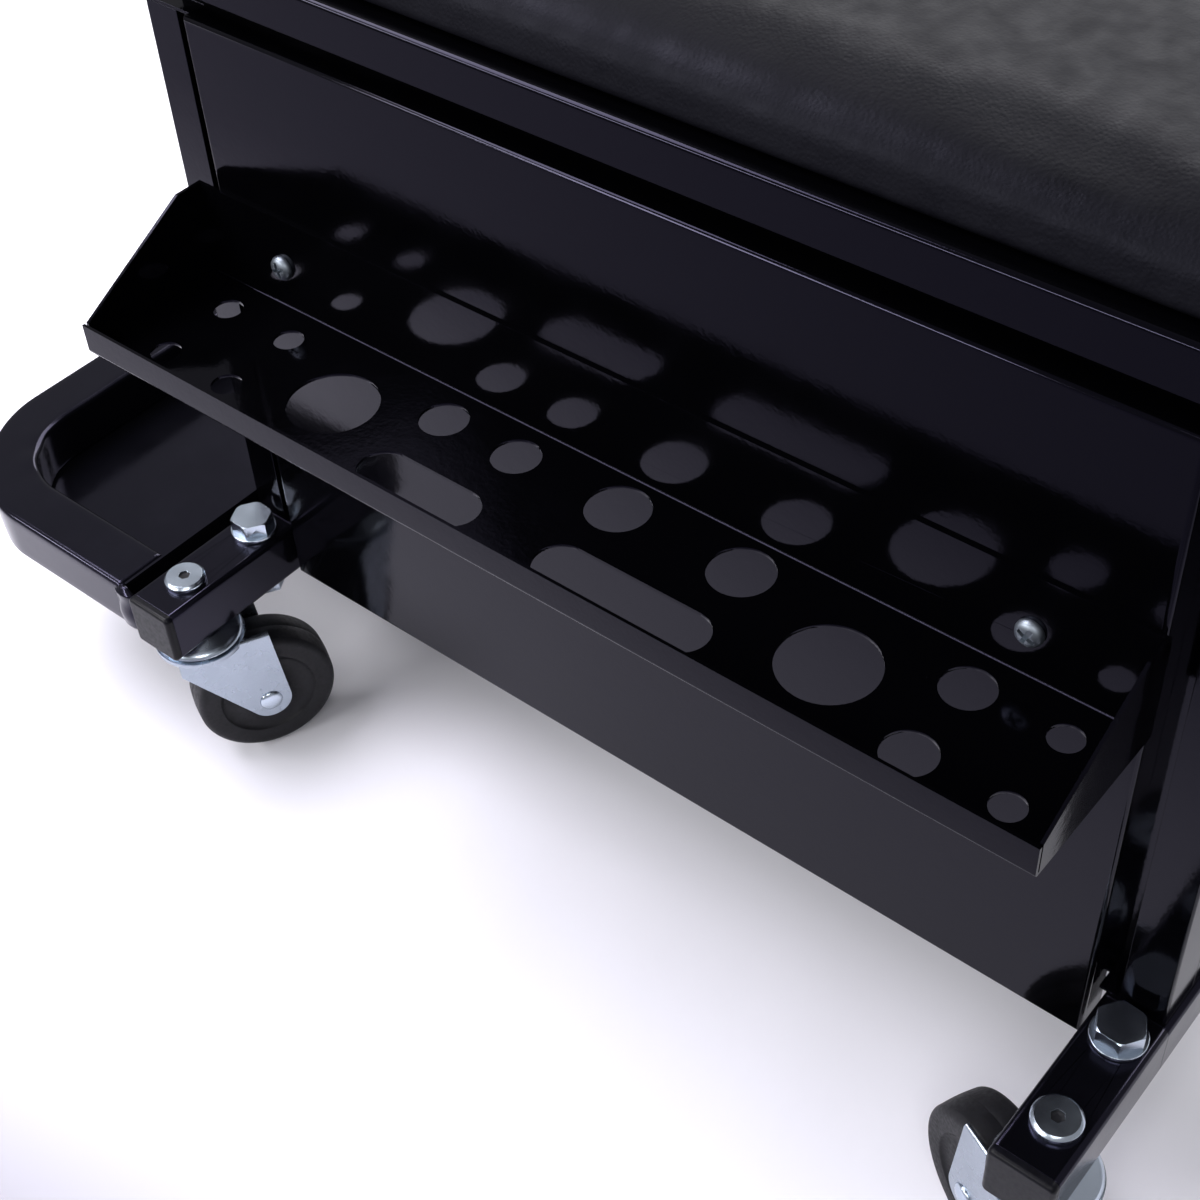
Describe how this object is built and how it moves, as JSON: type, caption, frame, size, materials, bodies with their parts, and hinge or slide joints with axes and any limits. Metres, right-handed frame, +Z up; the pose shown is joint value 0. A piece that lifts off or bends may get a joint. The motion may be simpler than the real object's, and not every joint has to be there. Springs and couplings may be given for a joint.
{
  "type": "rolling tool chest",
  "caption": "Low rolling tool chest with a padded hinged seat lid, drawers, side tool trays with holes, a bumper tube with a parts tray, and swivel casters.",
  "frame": {"origin": "on the floor, under the middle of the whole chest's bounding box", "axes": "+Z up; -X towards the drawers and the bumper tube, +X towards the lid's hinge; -Y towards the side called front"},
  "size_m": [0.5958, 0.489, 0.3983],
  "materials": {
    "gloss_black_paint": "high-gloss black powder coat with a faint orange peel",
    "black_frame_paint": "gloss black powder coat on square tube",
    "zinc_plate": "bright zinc plating, slightly blue",
    "cap_plastic": "moulded black plastic",
    "wheel_rubber": "satin hard rubber",
    "seat_vinyl": "soft black vinyl with a fine grain",
    "slide_steel": "zinc-plated rolled steel"
  },
  "bodies": {
    "chest": {"base_cross_tube_left": "black_frame_paint", "base_cross_tube_right": "black_frame_paint", "base_rails": "black_frame_paint", "arm_spigots": "black_frame_paint", "arm_end_caps": "cap_plastic", "arm_bolts": "zinc_plate", "arm_washers": "zinc_plate", "arm_nuts": "zinc_plate", "caster_bolts": "zinc_plate", "bumper_tube": "black_frame_paint", "parts_tray": "gloss_black_paint", "bumper_lugs": "black_frame_paint", "side_panel_front": "gloss_black_paint", "side_panel_rear": "gloss_black_paint", "end_panel": "gloss_black_paint", "bottom_panel": "gloss_black_paint", "top_till": "gloss_black_paint", "top_frame": "gloss_black_paint", "cabinet_slide_rails": "slide_steel", "hinge_leaf_cabinet": "gloss_black_paint", "hinge_pin": "zinc_plate", "tool_tray_front": "gloss_black_paint", "tool_tray_rear": "gloss_black_paint", "tool_tray_screws": "zinc_plate", "arm_front_left": "black_frame_paint", "post_front_left": "gloss_black_paint", "caster_front_left_mount": "zinc_plate", "arm_front_right": "black_frame_paint", "post_front_right": "gloss_black_paint", "caster_front_right_mount": "zinc_plate", "arm_rear_left": "black_frame_paint", "post_rear_left": "gloss_black_paint", "caster_rear_left_mount": "zinc_plate", "arm_rear_right": "black_frame_paint", "post_rear_right": "gloss_black_paint", "caster_rear_right_mount": "zinc_plate"},
    "drawer_lower": {"drawer_lower_front": "gloss_black_paint", "drawer_lower_box": "gloss_black_paint", "drawer_lower_runners": "slide_steel"},
    "drawer_middle": {"drawer_middle_front": "gloss_black_paint", "drawer_middle_box": "gloss_black_paint", "drawer_middle_runners": "slide_steel"},
    "drawer_upper": {"drawer_upper_front": "gloss_black_paint", "drawer_upper_box": "gloss_black_paint", "drawer_upper_runners": "slide_steel"},
    "lid": {"lid_shell": "gloss_black_paint", "seat_pad": "seat_vinyl", "hinge_leaf_lid": "gloss_black_paint"},
    "fork_front_left": {"caster_front_left_fork": "zinc_plate", "caster_front_left_axle": "zinc_plate"},
    "wheel_front_left": {"caster_front_left_wheel": "wheel_rubber"},
    "fork_front_right": {"caster_front_right_fork": "zinc_plate", "caster_front_right_axle": "zinc_plate"},
    "wheel_front_right": {"caster_front_right_wheel": "wheel_rubber"},
    "fork_rear_left": {"caster_rear_left_fork": "zinc_plate", "caster_rear_left_axle": "zinc_plate"},
    "wheel_rear_left": {"caster_rear_left_wheel": "wheel_rubber"},
    "fork_rear_right": {"caster_rear_right_fork": "zinc_plate", "caster_rear_right_axle": "zinc_plate"},
    "wheel_rear_right": {"caster_rear_right_wheel": "wheel_rubber"}
  },
  "joints": [
    {"name": "drawer_lower_slide", "type": "slide", "parent": "chest", "child": "drawer_lower", "axis": [-1, 0, 0], "range_m": [0, 0.3]},
    {"name": "drawer_middle_slide", "type": "slide", "parent": "chest", "child": "drawer_middle", "axis": [-1, 0, 0], "range_m": [0, 0.3]},
    {"name": "drawer_upper_slide", "type": "slide", "parent": "chest", "child": "drawer_upper", "axis": [-1, 0, 0], "range_m": [0, 0.3]},
    {"name": "lid_hinge", "type": "hinge", "parent": "chest", "child": "lid", "pos_m": [0.2915, 0, 0.352], "axis": [0, 1, 0], "range_deg": [0, 100]},
    {"name": "caster_front_left_swivel", "type": "hinge", "parent": "chest", "child": "fork_front_left", "pos_m": [-0.1419, -0.2222, 0.0714], "axis": [0, 0, 1], "continuous": true},
    {"name": "caster_front_left_roll", "type": "hinge", "parent": "fork_front_left", "child": "wheel_front_left", "pos_m": [-0.13231, -0.20296, 0.0318], "axis": [-0.8949, 0.4462, 0], "continuous": true},
    {"name": "caster_front_right_swivel", "type": "hinge", "parent": "chest", "child": "fork_front_right", "pos_m": [0.2781, -0.2222, 0.0714], "axis": [0, 0, 1], "continuous": true},
    {"name": "caster_front_right_roll", "type": "hinge", "parent": "fork_front_right", "child": "wheel_front_right", "pos_m": [0.25861, -0.21311, 0.0318], "axis": [-0.4226, -0.9063, 0], "continuous": true},
    {"name": "caster_rear_left_swivel", "type": "hinge", "parent": "chest", "child": "fork_rear_left", "pos_m": [-0.1419, 0.2222, 0.0714], "axis": [0, 0, 1], "continuous": true},
    {"name": "caster_rear_left_roll", "type": "hinge", "parent": "fork_rear_left", "child": "wheel_rear_left", "pos_m": [-0.12145, 0.21556, 0.0318], "axis": [0.309, 0.9511, 0], "continuous": true},
    {"name": "caster_rear_right_swivel", "type": "hinge", "parent": "chest", "child": "fork_rear_right", "pos_m": [0.2781, 0.2222, 0.0714], "axis": [0, 0, 1], "continuous": true},
    {"name": "caster_rear_right_roll", "type": "hinge", "parent": "fork_rear_right", "child": "wheel_rear_right", "pos_m": [0.26163, 0.20838, 0.0318], "axis": [0.6428, -0.766, 0], "continuous": true}
  ]
}
